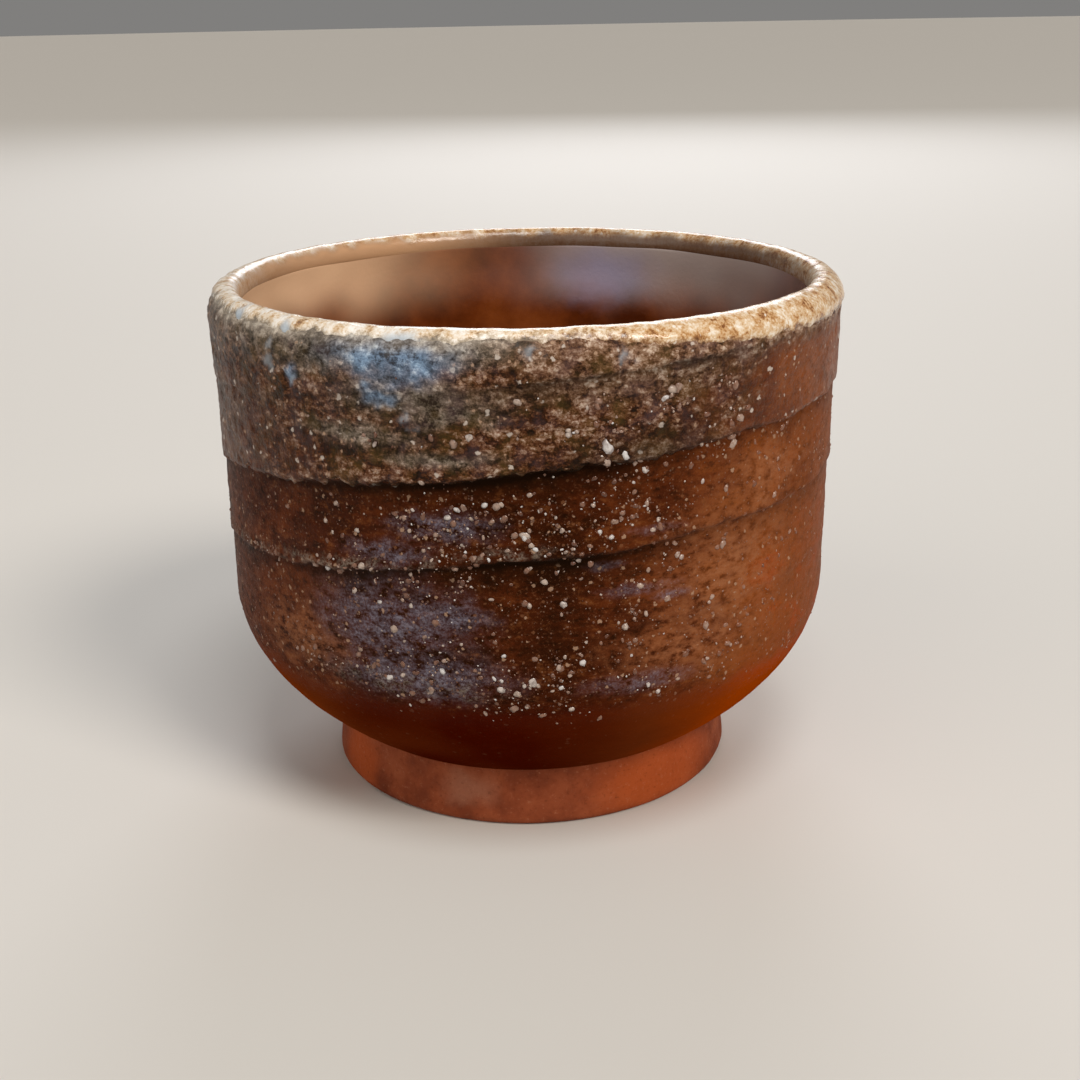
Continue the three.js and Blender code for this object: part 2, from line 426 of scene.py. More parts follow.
# Natural ash glaze: wood ash that melted on the shoulder and set as a rough, pitted crust, olive to
# grey-brown, milky blue where it pooled, with grains of unmelted ash.
def ashCrust():
    material, tree, shader, place, masks = newMaterial("naturalAshCrust", "coat")
    clay = firedClay(tree, place, masks["warmth"])[0]
    sideways = addNode(tree, "Mapping", {"Scale": (1, 1, 1.8)}, {0: place})
    patchy = addNode(
        tree, "TexNoise", {"Scale": perSize(4), "Detail": 5, "Roughness": 0.65}, {0: sideways}
    )
    lumps = addNode(
        tree, "TexNoise", {"Scale": perSize(1.1), "Detail": 5, "Roughness": 0.74}, {0: sideways}
    )
    grit = addNode(tree, "TexNoise", {"Scale": perSize(0.22), "Detail": 2, "Roughness": 0.7}, {0: place})
    blend = addNode(tree, "Mix", {0: 0.3}, {2: lumps, 3: grit})
    drift = addNode(tree, "MapRange", {1: 0.3, 2: 0.7, 3: -0.1, 4: 0.1}, {0: patchy})
    luck, distance = pebbles(tree, place, 0.5)
    grainShade = addNode(tree, "MapRange", {1: 0, 2: 1, 3: -0.05, 4: 0.065}, {0: luck})
    gap = addNode(tree, "MapRange", {1: 0.3, 2: 0.65, 3: 0.01, 4: -0.025}, {0: distance})
    shade = blend
    for change in (drift, grainShade, gap):
        shade = addNode(tree, "Math", plus, {0: shade, 1: change})
    stops = [(0.36, "#0e0401"), (0.45, "#2d1306"), (0.51, "#4f2b15")]
    stops += [(0.57, "#6f4d38"), (0.64, "#957968"), (0.74, "#cbb9a9")]
    ground = addNode(tree, "ValToRGB", {"stops": stops}, {"Fac": shade})
    tints = {
        "gold": [(0.37, "#29160a"), (0.46, "#664630"), (0.55, "#957660"), (0.66, "#d2bdaa")],
        "grey": [(0.36, "#2a2219"), (0.45, "#625a4d"), (0.55, "#898276"), (0.7, "#bfb8ae")],
        "blue": [(0.34, "#333c49"), (0.44, "#5f7690"), (0.56, "#809bb9"), (0.7, "#bcd4ea")],
        "pale": [(0.36, "#6a6157"), (0.5, "#9c9184"), (0.66, "#d3cabb")],
    }
    hue = addNode(tree, "TexNoise", {"Scale": perSize(2.6), "Detail": 4, "Roughness": 0.6}, {0: place})
    grounds = {name: addNode(tree, "ValToRGB", {"stops": tints[name]}, {"Fac": shade}) for name in tints}
    layers = [
        (masks["gold"], 0.85, grounds["gold"]),
        (masks["grey"], 0.9, grounds["grey"]),
        (addNode(tree, "MapRange", {1: 0.5, 2: 0.66}, {0: hue}), 0.32, "#5e4a1f"),
        (addNode(tree, "MapRange", {1: 0.48, 2: 0.34}, {0: hue}), 0.28, "#5f4a50"),
        (masks["thin"], 1, clay),
        (strewn(tree, place, 0.5, 0.74, 0.38), 0.7, "#b3937a"),
        (strewn(tree, place, 0.9, 0.6, 0.36), 0.8, "#c9bdb3"),
        (masks["blue"], 1.05, grounds["blue"]),
        (masks["pale"], 0.8, grounds["pale"]),
        (masks["milk"], 0.6, "#a9b1ba"),
        # painted shade under the ledges and along the crust's lower edge
        (masks["crevice"], 1, "#0f0502"),
    ]
    colour = overlay(tree, ground, layers)
    rise = addNode(tree, "MapRange", {1: 0.2, 2: 0.6, 3: 0.15, 4: 0}, {0: distance})
    height = addNode(tree, "Math", plus, {0: blend, 1: rise})
    dress(tree, shader, colour, height, 0.3, 0.24, 0.5)
    shader.inputs["Specular IOR Level"].default_value = 0.24
    shader.inputs["Specular Tint"].default_value = linear("#e0bfa2")
    return material


# Melted ash glaze on the lip: thin, glassy and pale gold, breaking to orange-brown where it ran off.
def lipAshGlaze():
    material, tree, shader, place, masks = newMaterial("lipAshGlaze", "lip")
    lumps = addNode(tree, "TexNoise", {"Scale": perSize(1.5), "Detail": 5, "Roughness": 0.7}, {0: place})
    grit = addNode(tree, "TexNoise", {"Scale": perSize(0.3), "Detail": 3, "Roughness": 0.7}, {0: place})
    blend = addNode(tree, "Mix", {0: 0.35}, {2: lumps, 3: grit})
    # paler on the left: partly the glaze's own paler colour, partly a painted highlight
    palerAndPaintedHighlight = addNode(tree, "Math", {"operation": "MULTIPLY_ADD", 1: 0.07}, {0: masks["cool"], 2: blend})
    stops = [(0.39, "#8f5a30"), (0.45, "#c2935f"), (0.52, "#dcc09c")]
    stops += [(0.58, "#ecdecb"), (0.67, "#faf6f0")]
    ground = addNode(tree, "ValToRGB", {"stops": stops}, {"Fac": palerAndPaintedHighlight})
    crustStops = [(0.36, "#4a2b14"), (0.48, "#8a6241"), (0.62, "#c3a17c")]
    crust = addNode(tree, "ValToRGB", {"stops": crustStops}, {"Fac": blend})
    ashyStops = [(0.36, "#756c60"), (0.48, "#a09382"), (0.62, "#cdbfa9")]
    ashy = addNode(tree, "ValToRGB", {"stops": ashyStops}, {"Fac": blend})
    crust = overlay(tree, crust, [(masks["cool"], 1, ashy)])
    waver = addNode(tree, "MapRange", {1: 0.3, 2: 0.7, 3: 0.6, 4: -0.6}, {0: blend})
    broken = addNode(tree, "Math", plus, {0: masks["edge"], 1: waver})
    layers = [
        (addNode(tree, "MapRange", {1: 0.15, 2: 0.85}, {0: broken}), 1, crust),
        (masks["milk"], 0.8, "#b9c8d6"),
        (strewn(tree, place, 0.6, 0.72, 0.36), 0.7, "#f7f2e8"),
        (masks["inward"], 0.95, "#5d4334"),
        # painted light: the inner lip tan on the left
        (masks["tan"], 0.95, "#cfa179"),
    ]
    dress(tree, shader, overlay(tree, ground, layers), blend, 0.08, 0.08, 0.28)
    return material


# Iron glaze inside: even, glossy and red-brown, with painted light in tan below the lip and painted
# violet-grey and bluish reflections.
def linerGlaze():
    material, tree, shader, place, masks = newMaterial("ironLinerGlaze", "liner")
    cloud = addNode(tree, "TexNoise", {"Scale": perSize(7), "Detail": 5, "Roughness": 0.6}, {0: place})
    grit = addNode(tree, "TexNoise", {"Scale": perSize(0.5), "Detail": 3, "Roughness": 0.6}, {0: place})
    stops = [(0.3, "#4a1d06"), (0.5, "#69300f"), (0.7, "#82421a")]
    ground = addNode(tree, "ValToRGB", {"stops": stops}, {"Fac": cloud})
    layers = [
        # painted light: a lit tan patch on the upper inner wall
        (masks["dust"], 1, "#f2c69e"),
        # painted reflections, violet-grey and bluish
        (masks["bloom"], 0.95, "#a89b97"),
        (masks["violet"], 0.6, "#8f8db0"),
    ]
    dress(tree, shader, overlay(tree, ground, layers), grit, 0.03, 0.14, 0.26)
    shader.inputs["Specular IOR Level"].default_value = 0.35
    return material


# Bare clay: unglazed and matte, fired salmon-red, with fine grit and faint turning lines.
def bareClay():
    material, tree, shader, place, masks = newMaterial("bareFootClay", "foot")
    cloud = addNode(tree, "TexNoise", {"Scale": perSize(4), "Detail": 5, "Roughness": 0.6}, {0: place})
    grit = addNode(tree, "TexNoise", {"Scale": perSize(0.4), "Detail": 3, "Roughness": 0.7}, {0: place})
    stops = [(0.3, "#6e3119"), (0.5, "#864023"), (0.7, "#984f2f")]
    ground = addNode(tree, "ValToRGB", {"stops": stops}, {"Fac": cloud})
    layers = [
        # orange flashing of the flame, and on the right painted warm light where the belly shades the foot
        (masks["flush"], 0.65, "#b4511d"),
        (masks["pale"], 0.8, "#a06a52"),
        (addNode(tree, "MapRange", {1: 0.58, 2: 0.74}, {0: grit}), 0.5, "#4d2110"),
        (addNode(tree, "MapRange", {1: 0.4, 2: 0.26}, {0: grit}), 0.4, "#b27757"),
    ]
    dress(tree, shader, overlay(tree, ground, layers), grit, 0.1, 0.75, 0.92)
    shader.inputs["Specular IOR Level"].default_value = 0.2
    return material


# Feldspar grit: hard white to pinkish grains that the fire rounded and left standing out of the clay.
def feldsparGrit():
    material, tree, shader, place, masks = newMaterial("feldsparGrit", "grit")
    stainedStops = [(0.1, "#2b1208"), (0.9, "#8f4c20")]
    stained = addNode(tree, "ValToRGB", {"stops": stainedStops}, {"Fac": masks["warmth"]})
    whiteStops = [(0, "#5c3625"), (0.35, "#8c6754"), (0.7, "#c0aea1"), (1, "#dcdada")]
    white = addNode(tree, "ValToRGB", {"stops": whiteStops}, {"Fac": masks["tint"]})
    grit = addNode(tree, "TexNoise", {"Scale": perSize(0.35), "Detail": 3}, {0: place})
    patchy = addNode(tree, "MapRange", {1: 0.66, 2: 0.46}, {0: grit})
    clean = addNode(tree, "Math", times, {0: masks["pale"], 1: patchy})
    colour = overlay(tree, stained, [(masks["pale"], 0.5, white), (clean, 0.9, white)])
    dress(tree, shader, colour, grit, 0.04, 0.14, 0.3)
    return material


# throwing spiral on the outside of the wall, a ledge that climbs round the cup
spiral = {
    "pitch": 7.8,
    "frontHeight": 38.95,  # height of the main ledge at the front
    "tilt": 1.6,
    "bow": 1.6,
    "waver": [(0.4, 11, 1), (0.25, 2.6, 2), (0.22, 0.9, 3)],  # of a fingertip
    "depth": 0.42,
    "ledge": 0.3,  # height of the step itself
    "groove": 0.14,  # hollow under the step
    "lumps": 0.12,  # slow unevenness of the hand
    # deep on the middle turns, fading on the left of the main one, and once more a little just below
    # the lip, as (strength, middle, reach) in turns from the main ledge's front
    "swells": [(0.95, -0.45, 1.05), (-0.45, -0.17, 0.06), (0.5, 1.045, 0.07)],
}


def ledgeStrength(turns):
    return sum(strength * hump(turns, middle, reach) for strength, middle, reach in spiral["swells"])


def ledgeHeight(place, angle):
    # the main ledge at this angle
    climb = spiral["pitch"] * angle / (2 * math.pi) + spiral["tilt"] * math.sin(angle)
    climb -= spiral["bow"] * (1 - math.cos(angle))
    return spiral["frontHeight"] + climb + rough(place, spiral["waver"])


def wallAt(place, angle):
    # relief of the thrown wall, the painted shade under its ledges and the crumbs on top of them
    turns = (place.z - ledgeHeight(place, angle)) / spiral["pitch"]
    below = math.floor(turns)
    share = turns - below
    above = share * spiral["pitch"]  # distance over the ledge below
    under = (1 - share) * spiral["pitch"]  # distance under the next ledge
    patchy = 0.85 + 0.5 * grain(place, 5, 4)
    here = ledgeStrength(below + angle / (2 * math.pi)) * patchy
    over = ledgeStrength(below + 1 + angle / (2 * math.pi)) * patchy
    fade = smooth(cup["foot"] + 5, bellyTop, place.z)
    fade *= 1 - smooth(lipBase - 0.4, lipBase + 0.4, place.z)
    step = spiral["depth"] * here * (1 - share) ** 1.2 * smooth(0, spiral["ledge"], above)
    groove = spiral["groove"] * over * hump(under, 0, 0.4)
    width = 0.6 + 0.5 * grain(place, 2.2, 16)
    crevice = over * (hump(under, 0, max(width, 0.2)) + hump(under, 0, 2))
    crevice += here * (1 - smooth(0, 0.22, above))
    crumbs = here * hump(above, 0.6, 0.6)
    relief = (step - groove) * fade + spiral["lumps"] * grain(place, 13, 5)
    return relief, min(crevice * fade, 1), crumbs * fade


# the thrown bowl
bowl = {
    "segments": 512,
    "undersideRows": 6,
    "bellyRows": 46,
    "wallRows": 122,
    "lipRows": 3,
    "insideRows": 4,
    "fingerLines": 0.035,
    "grit": 0.03,
    "crumbRise": 0.2,
    "hidden": 0.25,  # how much deeper the clay lies where a glaze covers it
    "dusk": (18.2, 15.6),  # heights between which the belly darkens, a painted shade
    "paintedLowShadeEdge": [(0.9, 4, 10), (0.5, 1, 11)],  # noise of that edge
    "gloss": 0.14,  # what fly ash gives the clay
    "haze": [
        (-24, 25, 11, 6.5), (-20, 20, 12, 3.6), (-14, 34.3, 7, 1.8),
        (-24, 31.6, 6, 1.6), (-12, 26, 5, 2),
    ],
    "streaks": [
        (18, 28, 5, 0.8), (24, 27, 3, 0.7), (21, 33.3, 3.6, 0.6),
        (12, 30.5, 3, 0.6), (18, 19, 8, 1.4),
    ],
    "veil": [(36, 28, 11, 11), (28, 22, 11, 5), (44, 36, 8, 4), (-44, 21.5, 9, 4)],
    "crumbs": [(-45, 28.3, 24, 3), (-22, 29.8, 12, 2.5), (-4, 31.8, 7, 2)],
    "cluster": [(-26, 19.2, 8, 1.6), (-12, 18.8, 6, 1.2)],
}


def warmthAt(place, angle):
    # how far the fire flashed the clay: most on the right, less on the left and little below the lip
    turnRight = math.degrees(angle)
    right = 0.72 * smooth(-6, 54, turnRight) * (1 - 0.4 * smooth(130, 180, turnRight))
    left = 0.24 * smooth(10, 55, -turnRight) + 0.19 * smooth(70, 180, -turnRight)
    flank = 0.6 * smooth(28, 46, turnRight) * (1 - smooth(110, 150, turnRight))
    high = 1 - 0.14 * smooth(25, 32, place.z) - 0.3 * smooth(36, 43, place.z) * (1 - flank)
    low = 0.27 * smooth(22, 11, place.z) * smooth(30, 62, abs(turnRight))
    return 0.12 + (right + left) * high + low + 0.1 * grain(place, 6, 4)


def makeBowl():
    bm, along = turn(
        [
            (undersideStretch, bowl["undersideRows"], 0.08),
            (bellyStretch, bowl["bellyRows"], 0.32),
            (wallStretch, bowl["wallRows"], 0.54),
            (lipOuterStretch, bowl["lipRows"], 0.01),
            (lipInnerStretch, bowl["lipRows"], 0.01),
            (insideStretch, bowl["insideRows"], 0.02),
            (wellStretch, bowl["insideRows"], 0.02),
        ],
        bowl["segments"],
    )
    masks = addMasks(bm, "bowl")
    for vert in bm.verts:
        if vert[along] < 1:  # the underside
            vert[masks["bare"]] = 1
            continue
        if vert[along] >= 3:  # the lip and the inside
            vert.co -= vert.normal * bowl["hidden"]
            continue
        place = vert.co.copy()
        angle = angleOf(place)
        turnRight = math.degrees(angle)
        relief, crevice, crumbs = wallAt(place, angle)
        crumbs *= 1.4 * spots(place, bowl["crumbs"], 0.3)
        crumbs = max(crumbs, 0.5 * spots(place, bowl["cluster"], 0.8))
        crumbs *= smooth(-0.2, 0.25, grain(place, 0.9, 9))
        lines = drawnOut(place, 0.04)
        relief += bowl["fingerLines"] * (grain(lines, 0.8, 6) + grain(lines, 2.1, 7))
        relief += bowl["grit"] * grain(place, 0.9, 8) + bowl["crumbRise"] * crumbs
        relief *= smooth(cup["foot"], cup["foot"] + 1.5, place.z)
        relief -= bowl["hidden"] * smooth(0.4, 1.2, place.z - coatEdge(place, angle))
        vert.co += vert.normal * relief
        vert[masks["warmth"]] = warmthAt(place, angle)
        streaks = 0.7 * spots(place, bowl["streaks"], 0.8, 0)
        # partly the ash's haze, partly a painted reflection
        vert[masks["haze"]] = max(spots(place, bowl["haze"], 1.5, 0), streaks)
        vert[masks["veil"]] = spots(place, bowl["veil"], 2, 0)
        # painted shade: the belly darkens towards the foot
        dusk = smooth(*bowl["dusk"], place.z + rough(place, bowl["paintedLowShadeEdge"]))
        vert[masks["dusk"]] = dusk * (1 - 0.5 * smooth(70, 110, abs(turnRight)))
        flashed = smooth(25, 60, turnRight) * (1 - smooth(120, 160, turnRight))
        flashed = max(flashed, smooth(30, 55, -turnRight))
        vert[masks["sheen"]] = bowl["gloss"] * smooth(14, 24, place.z) * (1 - 0.7 * flashed)
        # painted shade under the ledges
        crevice *= 1 - 0.75 * smooth(2, 34, turnRight)  # weaker away from the front
        vert[masks["crevice"]] = crevice * (1 - 0.35 * smooth(12, 40, -turnRight))
        vert[masks["crumbs"]] = crumbs
    addPiece(bm, "thrown_bowl", firedStoneware(), "bowl")


# the foot ring of bare clay
foot = {
    "segments": 352,
    "width": 5,
    "round": 0.8,
    "sunk": 0.15,  # into the bowl, so that no light shows through the seam
    "turningLines": 0.03,
    "uneven": 0.07,
    "grit": 0.025,
    "pale": [(-18, 3.6, 6, 2.6)],
    # orange flashing, and on the right painted warm light where the belly shades the foot
    "flush": [(38, 3, 16, 6), (-60, 3, 8, 5), (150, 3, 20, 5)],
}


def makeFoot():
    outer, seat, width, edge = cup["footRadius"], seatRadius, foot["width"], foot["round"]
    inner = outer - width
    bend = edge * (1 - roundness)
    top = cup["foot"] + foot["sunk"]
    bm, _ = turn(
        [
            ([(inner + edge, 0), (inner + 2, 0), (outer - 2, 0), (outer - edge, 0)], 12, 0.2),
            ([(outer - edge, 0), (outer - bend, 0), (outer, bend), (outer, edge)], 5, 0.1),
            ([(outer, edge), (outer - 0.1, 2), (seat, 4), (seat, top)], 26, 0.35),
            ([(seat, top), (seat - 1, top), (seat - width + 1, top), (seat - width, top)], 4, 0.05),
            ([(seat - width, top), (seat - width, 4), (inner, 2), (inner, edge)], 16, 0.2),
            ([(inner, edge), (inner, bend), (inner + bend, 0), (inner + edge, 0)], 5, 0.1),
        ],
        foot["segments"],
    )
    masks = addMasks(bm, "foot")
    for vert in bm.verts:
        place = vert.co.copy()
        relief = foot["turningLines"] * grain(drawnOut(place, 0.05), 0.6, 1)
        relief += foot["uneven"] * grain(place, 6, 2)
        relief += foot["grit"] * grain(place, 0.9, 3)
        vert.co += vert.normal * relief * smooth(0, 0.5, place.z)  # the resting face stays true
        vert[masks["pale"]] = 0.7 * spots(place, foot["pale"])
        vert[masks["flush"]] = spots(place, foot["flush"])
    addPiece(bm, "foot_ring_clay", bareClay(), "foot_ring")


# the ash crust on the shoulder
coat = {
    "segments": 768,
    "rows": 76,
    "lipRows": 14,
    "backRows": 12,
    "bottom": 33,  # the band starts below its ragged edge
    "backEdge": 38.2,  # height of that edge round the back
    "torn": [(0.5, 1.6, 15), (0.25, 0.7, 20)],  # noise of that edge
    "thickness": 0.34,
    "lumps": [(0.09, 2.2, 13), (0.1, 0.9, 12), (0.05, 0.5, 14)],
    "pits": 0.14,
    "buried": -0.14,
    "inset": 1.4,  # how far its back lies in the wall
    "blue": [
        (-22, 49.2, 8.5, 3.8), (-25.5, 48.8, 4.4, 3), (-17, 48.6, 3.6, 2.4),
        (-22.8, 45.6, 2, 1.6), (-40, 46.8, 1, 1.4),
    ],
    "drops": [
        (-45.5, 46.4, 0.7, 1), (-45.5, 47.8, 0.4, 1.4), (-39.8, 46.5, 0.7, 0.9),
        (-18.8, 43.6, 0.9, 1), (2, 49.4, 0.9, 0.7), (16, 49.2, 0.6, 0.9),
    ],
    "grey": [
        (-44, 49.8, 22, 4.2), (-34, 48.6, 9, 2.8), (-14, 49.4, 10, 2),
        (-18, 45.5, 11, 2.8), (-12, 44, 6, 1.6), (-28, 42, 9, 1.6),
        (-14, 40.2, 7, 1.2),
    ],
    "gold": [(14, 47, 12, 3.2), (30, 47.4, 10, 2.6), (44, 48, 8, 1.6), (0, 46.2, 7, 1.6)],
}


def coatEdge(place, angle):
    # the crust ends on the main ledge in front, and falls round the back to meet it again on the left
    back = coat["backEdge"] + 1.6 * grain(place, 9, 11)
    share = smooth(75, 130, abs(math.degrees(angle)))
    return ledgeHeight(place, angle) * (1 - share) + back * share + rough(place, coat["torn"])


def coatBody(place, angle):
    # how thin the crust is burnt off, to the clay's own colour, and how thick that leaves it
    turnRight = math.degrees(angle)
    thin = smooth(20, 48, turnRight + 12 * grain(place, 4, 17)) * (1 - smooth(110, 160, turnRight))
    thin *= smooth(49, 46.5, place.z)
    leftThin = smooth(34, 62, -turnRight + 14 * grain(place, 4, 18)) * (1 - smooth(100, 140, -turnRight))
    thin = max(thin, 0.55 * leftThin * smooth(47, 43, place.z))
    return thin, coat["thickness"] * (1 - 0.7 * max(thin, smooth(40, 70, abs(turnRight))))


def makeCoat():
    bottom = coat["bottom"]
    inset = bellyRadius - coat["inset"]
    band = [
        (bellyRadius, bottom),
        (bellyRadius + 0.1, bottom + 6),
        (mouthRadius - 0.2, lipBase - 5),
        (mouthRadius, lipBase),
    ]
    behind = [(lipCrest, lipTop), (lipCrest - 0.2, lipTop - 3), (inset, bottom + 5), (inset, bottom)]
    bm, along = turn(
        [
            (band, coat["rows"], 0.86),
            (lipOuterStretch, coat["lipRows"], 0.1),
            (behind, coat["backRows"], 0.04),
        ],
        coat["segments"],
    )
    masks = addMasks(bm, "coat")
    for vert in bm.verts:
        if vert[along] >= 2:  # its back
            continue
        place = vert.co.copy()
        angle = angleOf(place)
        turnRight = math.degrees(angle)
        over = place.z - coatEdge(place, angle)
        thin, body = coatBody(place, angle)
        cover = smooth(-0.4, 0.45, over)
        lump = rough(place, coat["lumps"])
        lump -= coat["pits"] * smooth(0.2, 0.5, grain(place, 1.3, 15))
        relief, crevice, _ = wallAt(place, angle)
        blue = spots(place, coat["blue"], 1.1, 0)
        body += lump * (1 - 0.6 * thin) + 0.06 * blue
        body *= 1 - 0.85 * smooth(-0.4, 0.8, place.z - lipEdge(place, angle))  # thin under the lip's roll
        body = max(body, 0.02)
        vert.co += vert.normal * (relief + coat["buried"] + (body - coat["buried"]) * cover)
        vert[masks["warmth"]] = warmthAt(place, angle)
        vert[masks["blue"]] = blue
        vert[masks["grey"]] = 0.8 * spots(place, coat["grey"], 1.5, 0)
        vert[masks["thin"]] = thin
        drop = lipEdge(place, angle) - place.z + 0.5 * grain(place, 1.2, 19)
        cool = smooth(6, -10, turnRight) * smooth(170, 110, -turnRight)
        fade = smooth(2 - 0.9 * cool, -0.3, drop)  # where the lip's glaze thins out over the crust
        # a painted highlight along the crust's lower edge right of the front, laid in with the gold
        paintedEdgeHighlight = 0.6 * hump(over, 0.5, 0.35) * smooth(6, 16, turnRight) * smooth(44, 34, turnRight)
        vert[masks["pale"]] = fade * cool
        vert[masks["gold"]] = max(spots(place, coat["gold"], 1.2, 0), fade * (1 - cool), paintedEdgeHighlight)
        vert[masks["milk"]] = spots(place, coat["drops"], 1.2, 0)
        # painted shade a little above the crust's lower edge, right of the front
        paintedEdgeShade = 0.45 * smooth(4, 0.8, over) * smooth(2, 10, turnRight) * smooth(34, 24, turnRight)
        # painted shade along the crust's lower edge and under the ledges
        shaded = max(0.9 * smooth(0.2, -0.1, over), 0.8 * crevice * smooth(1, 2, over))
        vert[masks["crevice"]] = max(shaded, paintedEdgeShade)
    addPiece(bm, "ash_crust", ashCrust(), "ash_coat")


# the glassy roll of ash glaze over the lip
lip = {
    "segments": 640,
    "outerRows": 40,
    "innerRows": 14,
    "outside": 2.2,  # how far it runs down the wall below the lip
    "inside": 3.2,  # how far it runs down inside, from the lip's top
    "edge": 49.85,  # height of its torn edge on the left
    "fall": 1.45,  # how much lower that edge is on the right
    "backEdge": 49.0,
    "torn": [(0.3, 2.4, 21), (0.22, 0.8, 22)],  # noise of that edge
    "thickness": 0.42,
    "uneven": [(0.06, 1.8, 24), (0.06, 6, 25), (0.025, 0.6, 26)],
    "buried": -0.1,
    "milk": [(-57, 49.9, 1.1, 1.0), (-43, 49.8, 0.8, 0.9), (-20, 50.0, 3, 0.6)],
}


def lipEdge(place, angle):
    turnRight = math.degrees(angle)
    share = smooth(80, 150, abs(turnRight))
    edge = (lip["edge"] - lip["fall"] * smooth(2, 42, turnRight)) * (1 - share)
    return edge + lip["backEdge"] * share + rough(place, lip["torn"])


def makeLip():
    low, deep = lipBase - lip["outside"], lipTop - lip["inside"]
    start = [
        (mouthRadius - 0.02, low),
        (mouthRadius, lipBase - 1.5),
        (mouthRadius, lipBase - 0.8),
        (mouthRadius, lipBase),
    ]
    end = [
        (lipInner, innerTop),
        (lipInner, lipTop - 2),
        (lipInner - 0.02, lipTop - 2.6),
        (lipInner - 0.06, deep),
    ]
    behind = [
        (lipInner - 0.06, deep),
        (lipInner + 0.8, deep - 0.2),
        (mouthRadius - 1, low - 0.2),
        (mouthRadius - 0.02, low),
    ]
    bm, along = turn(
        [
            (start, 12, 0.2),
            (lipOuterStretch, lip["outerRows"], 0.45),
            (lipInnerStretch, lip["innerRows"], 0.17),
            (end, 10, 0.14),
            (behind, 6, 0.04),
        ],
        lip["segments"],
    )
    masks = addMasks(bm, "lip")
    for vert in bm.verts:
        if vert[along] >= 4:  # its back
            continue
        place = vert.co.copy()
        angle = angleOf(place)
        turnRight = math.degrees(angle)
        if vert[along] < 2:  # outside the crest
            over = place.z - lipEdge(place, angle)
            cover = smooth(-0.5, 0.9, over)
            reach = 0.65 + 0.4 * hump(turnRight, 14, 11)  # broken up most a little to the right
            vert[masks["edge"]] = smooth(reach, 0, over)
        else:
            cover = smooth(lipTop - 2.8, lipTop - 1.4, place.z)
            inward = smooth(lipTop + 0.2, lipTop - 0.7, place.z + 0.4 * grain(place, 2, 27))
            inward *= 0.3 + 0.7 * smooth(75, 125, abs(turnRight))
            vert[masks["inward"]] = inward
            # painted light, tan on the inner lip at the left, as on the wall below
            vert[masks["tan"]] = inward * smooth(-0.1, 0.6, -math.sin(angle))
        uneven = rough(place, lip["uneven"])
        if vert[along] >= 2:
            uneven *= smooth(innerTop, lipTop - 0.3, place.z)  # even where it ends on the liner
        vert.co += vert.normal * (lip["buried"] + (lip["thickness"] - lip["buried"] + uneven) * cover)
        vert[masks["milk"]] = spots(place, lip["milk"], 0.5)
        vert[masks["cool"]] = smooth(16, -8, turnRight) * smooth(170, 110, -turnRight)
    addPiece(bm, "lip_roll_glaze", lipAshGlaze(), "lip_glaze")


# the glaze inside
liner = {
    "segments": 320,
    "wallRows": 70,
    "wellRows": 60,
    "backRows": 12,
    "thickness": 0.35,
    "throwingRings": 0.06,
    "ringPitch": 5.5,
    "uneven": 0.06,
    "back": 0.5,  # how far its back lies in the clay
    "dust": (184, 238, 290, 340),  # degrees between which the painted light on the wall comes and goes
    "bloom": (85, 120, 150, 198),  # the same for the painted grey reflection
    "violet": [(160, 46, 10, 5)],
}


def makeLiner():
    back = liner["back"]
    wellBehind = [(radius and radius + back, height - back) for radius, height in reversed(wellStretch)]
    wallBehind = [(radius + back, height - back) for radius, height in reversed(insideStretch)]
    bm, along = turn(
        [
            (insideStretch, liner["wallRows"], 0.5),
            (wellStretch, liner["wellRows"], 0.44),
            (wellBehind, liner["backRows"], 0.03),
            (wallBehind, liner["backRows"], 0.03),
        ],
        liner["segments"],
    )
    masks = addMasks(bm, "liner")
    for vert in bm.verts:
        if vert[along] >= 2:  # its back
            continue
        place = vert.co.copy()
        radius = place.to_2d().length
        travel = place.z - radius  # grows up the wall and shrinks over the floor
        phase = 2 * math.pi * travel / liner["ringPitch"] - angleOf(place)
        rings = liner["throwingRings"] * math.sin(phase) * smooth(0, 6, radius)
        body = liner["thickness"] + rings + liner["uneven"] * grain(place, 9, 31)
        body *= 0.4 + 0.6 * smooth(innerTop, lipTop - 1.5, place.z)  # tucked under the lip's glaze
        vert.co += vert.normal * body
        facing = math.degrees(angleOf(place)) % 360 + 6 * grain(place, 6, 32)
        top = smooth(lipTop - 10, lipTop - 1.5, place.z + 1.5 * grain(place, 5, 33))
        # a painted bluish reflection near the rim
        vert[masks["violet"]] = spots(place, liner["violet"], 0.8, 0)
        # painted light and a painted reflection on the upper inner wall
        for name in ("dust", "bloom"):
            start, full, fading, end = liner[name]
            vert[masks[name]] = top * smooth(start, full, facing) * (1 - smooth(fading, end, facing))
    addPiece(bm, "liner_gloss_glaze", linerGlaze(), "liner_glaze")


# feldspar grains standing out of the wall
grit = {
    "seed": 11,
    "count": 3200,
    "smallest": 0.09,
    "largest": 0.46,
    "flatness": 0.7,
    "lumps": 0.45,  # unevenness as a share of the size
    "sunk": 0.35,  # the same, into the clay
    "thick": [(-24, 19.8, 10, 2.2), (-6, 20.5, 9, 2.2), (3, 32.8, 11, 2), (0, 35, 16, 2.4)],
    "shoulder": [(18, 43.5, 10, 4), (32, 44, 8, 3)],
}


def wallPlace(angle, height):
    # a point of the bare wall and the direction out of it
    stretch = bellyStretch if height < bellyTop else wallStretch
    places = interpolate_bezier(*[Vector((radius, 0, z)) for radius, z in stretch], 60)
    steps = zip(places, places[1:])
    below, above = next((pair for pair in steps if pair[0].z <= height <= pair[1].z), places[-2:])
    middle = below.lerp(above, (height - below.z) / (above.z - below.z))
    outward = Vector((above.z - below.z, 0, below.x - above.x)).normalized()
    aside = Matrix.Rotation(angle - math.pi / 2, 3, "Z")
    return aside @ middle, aside @ outward


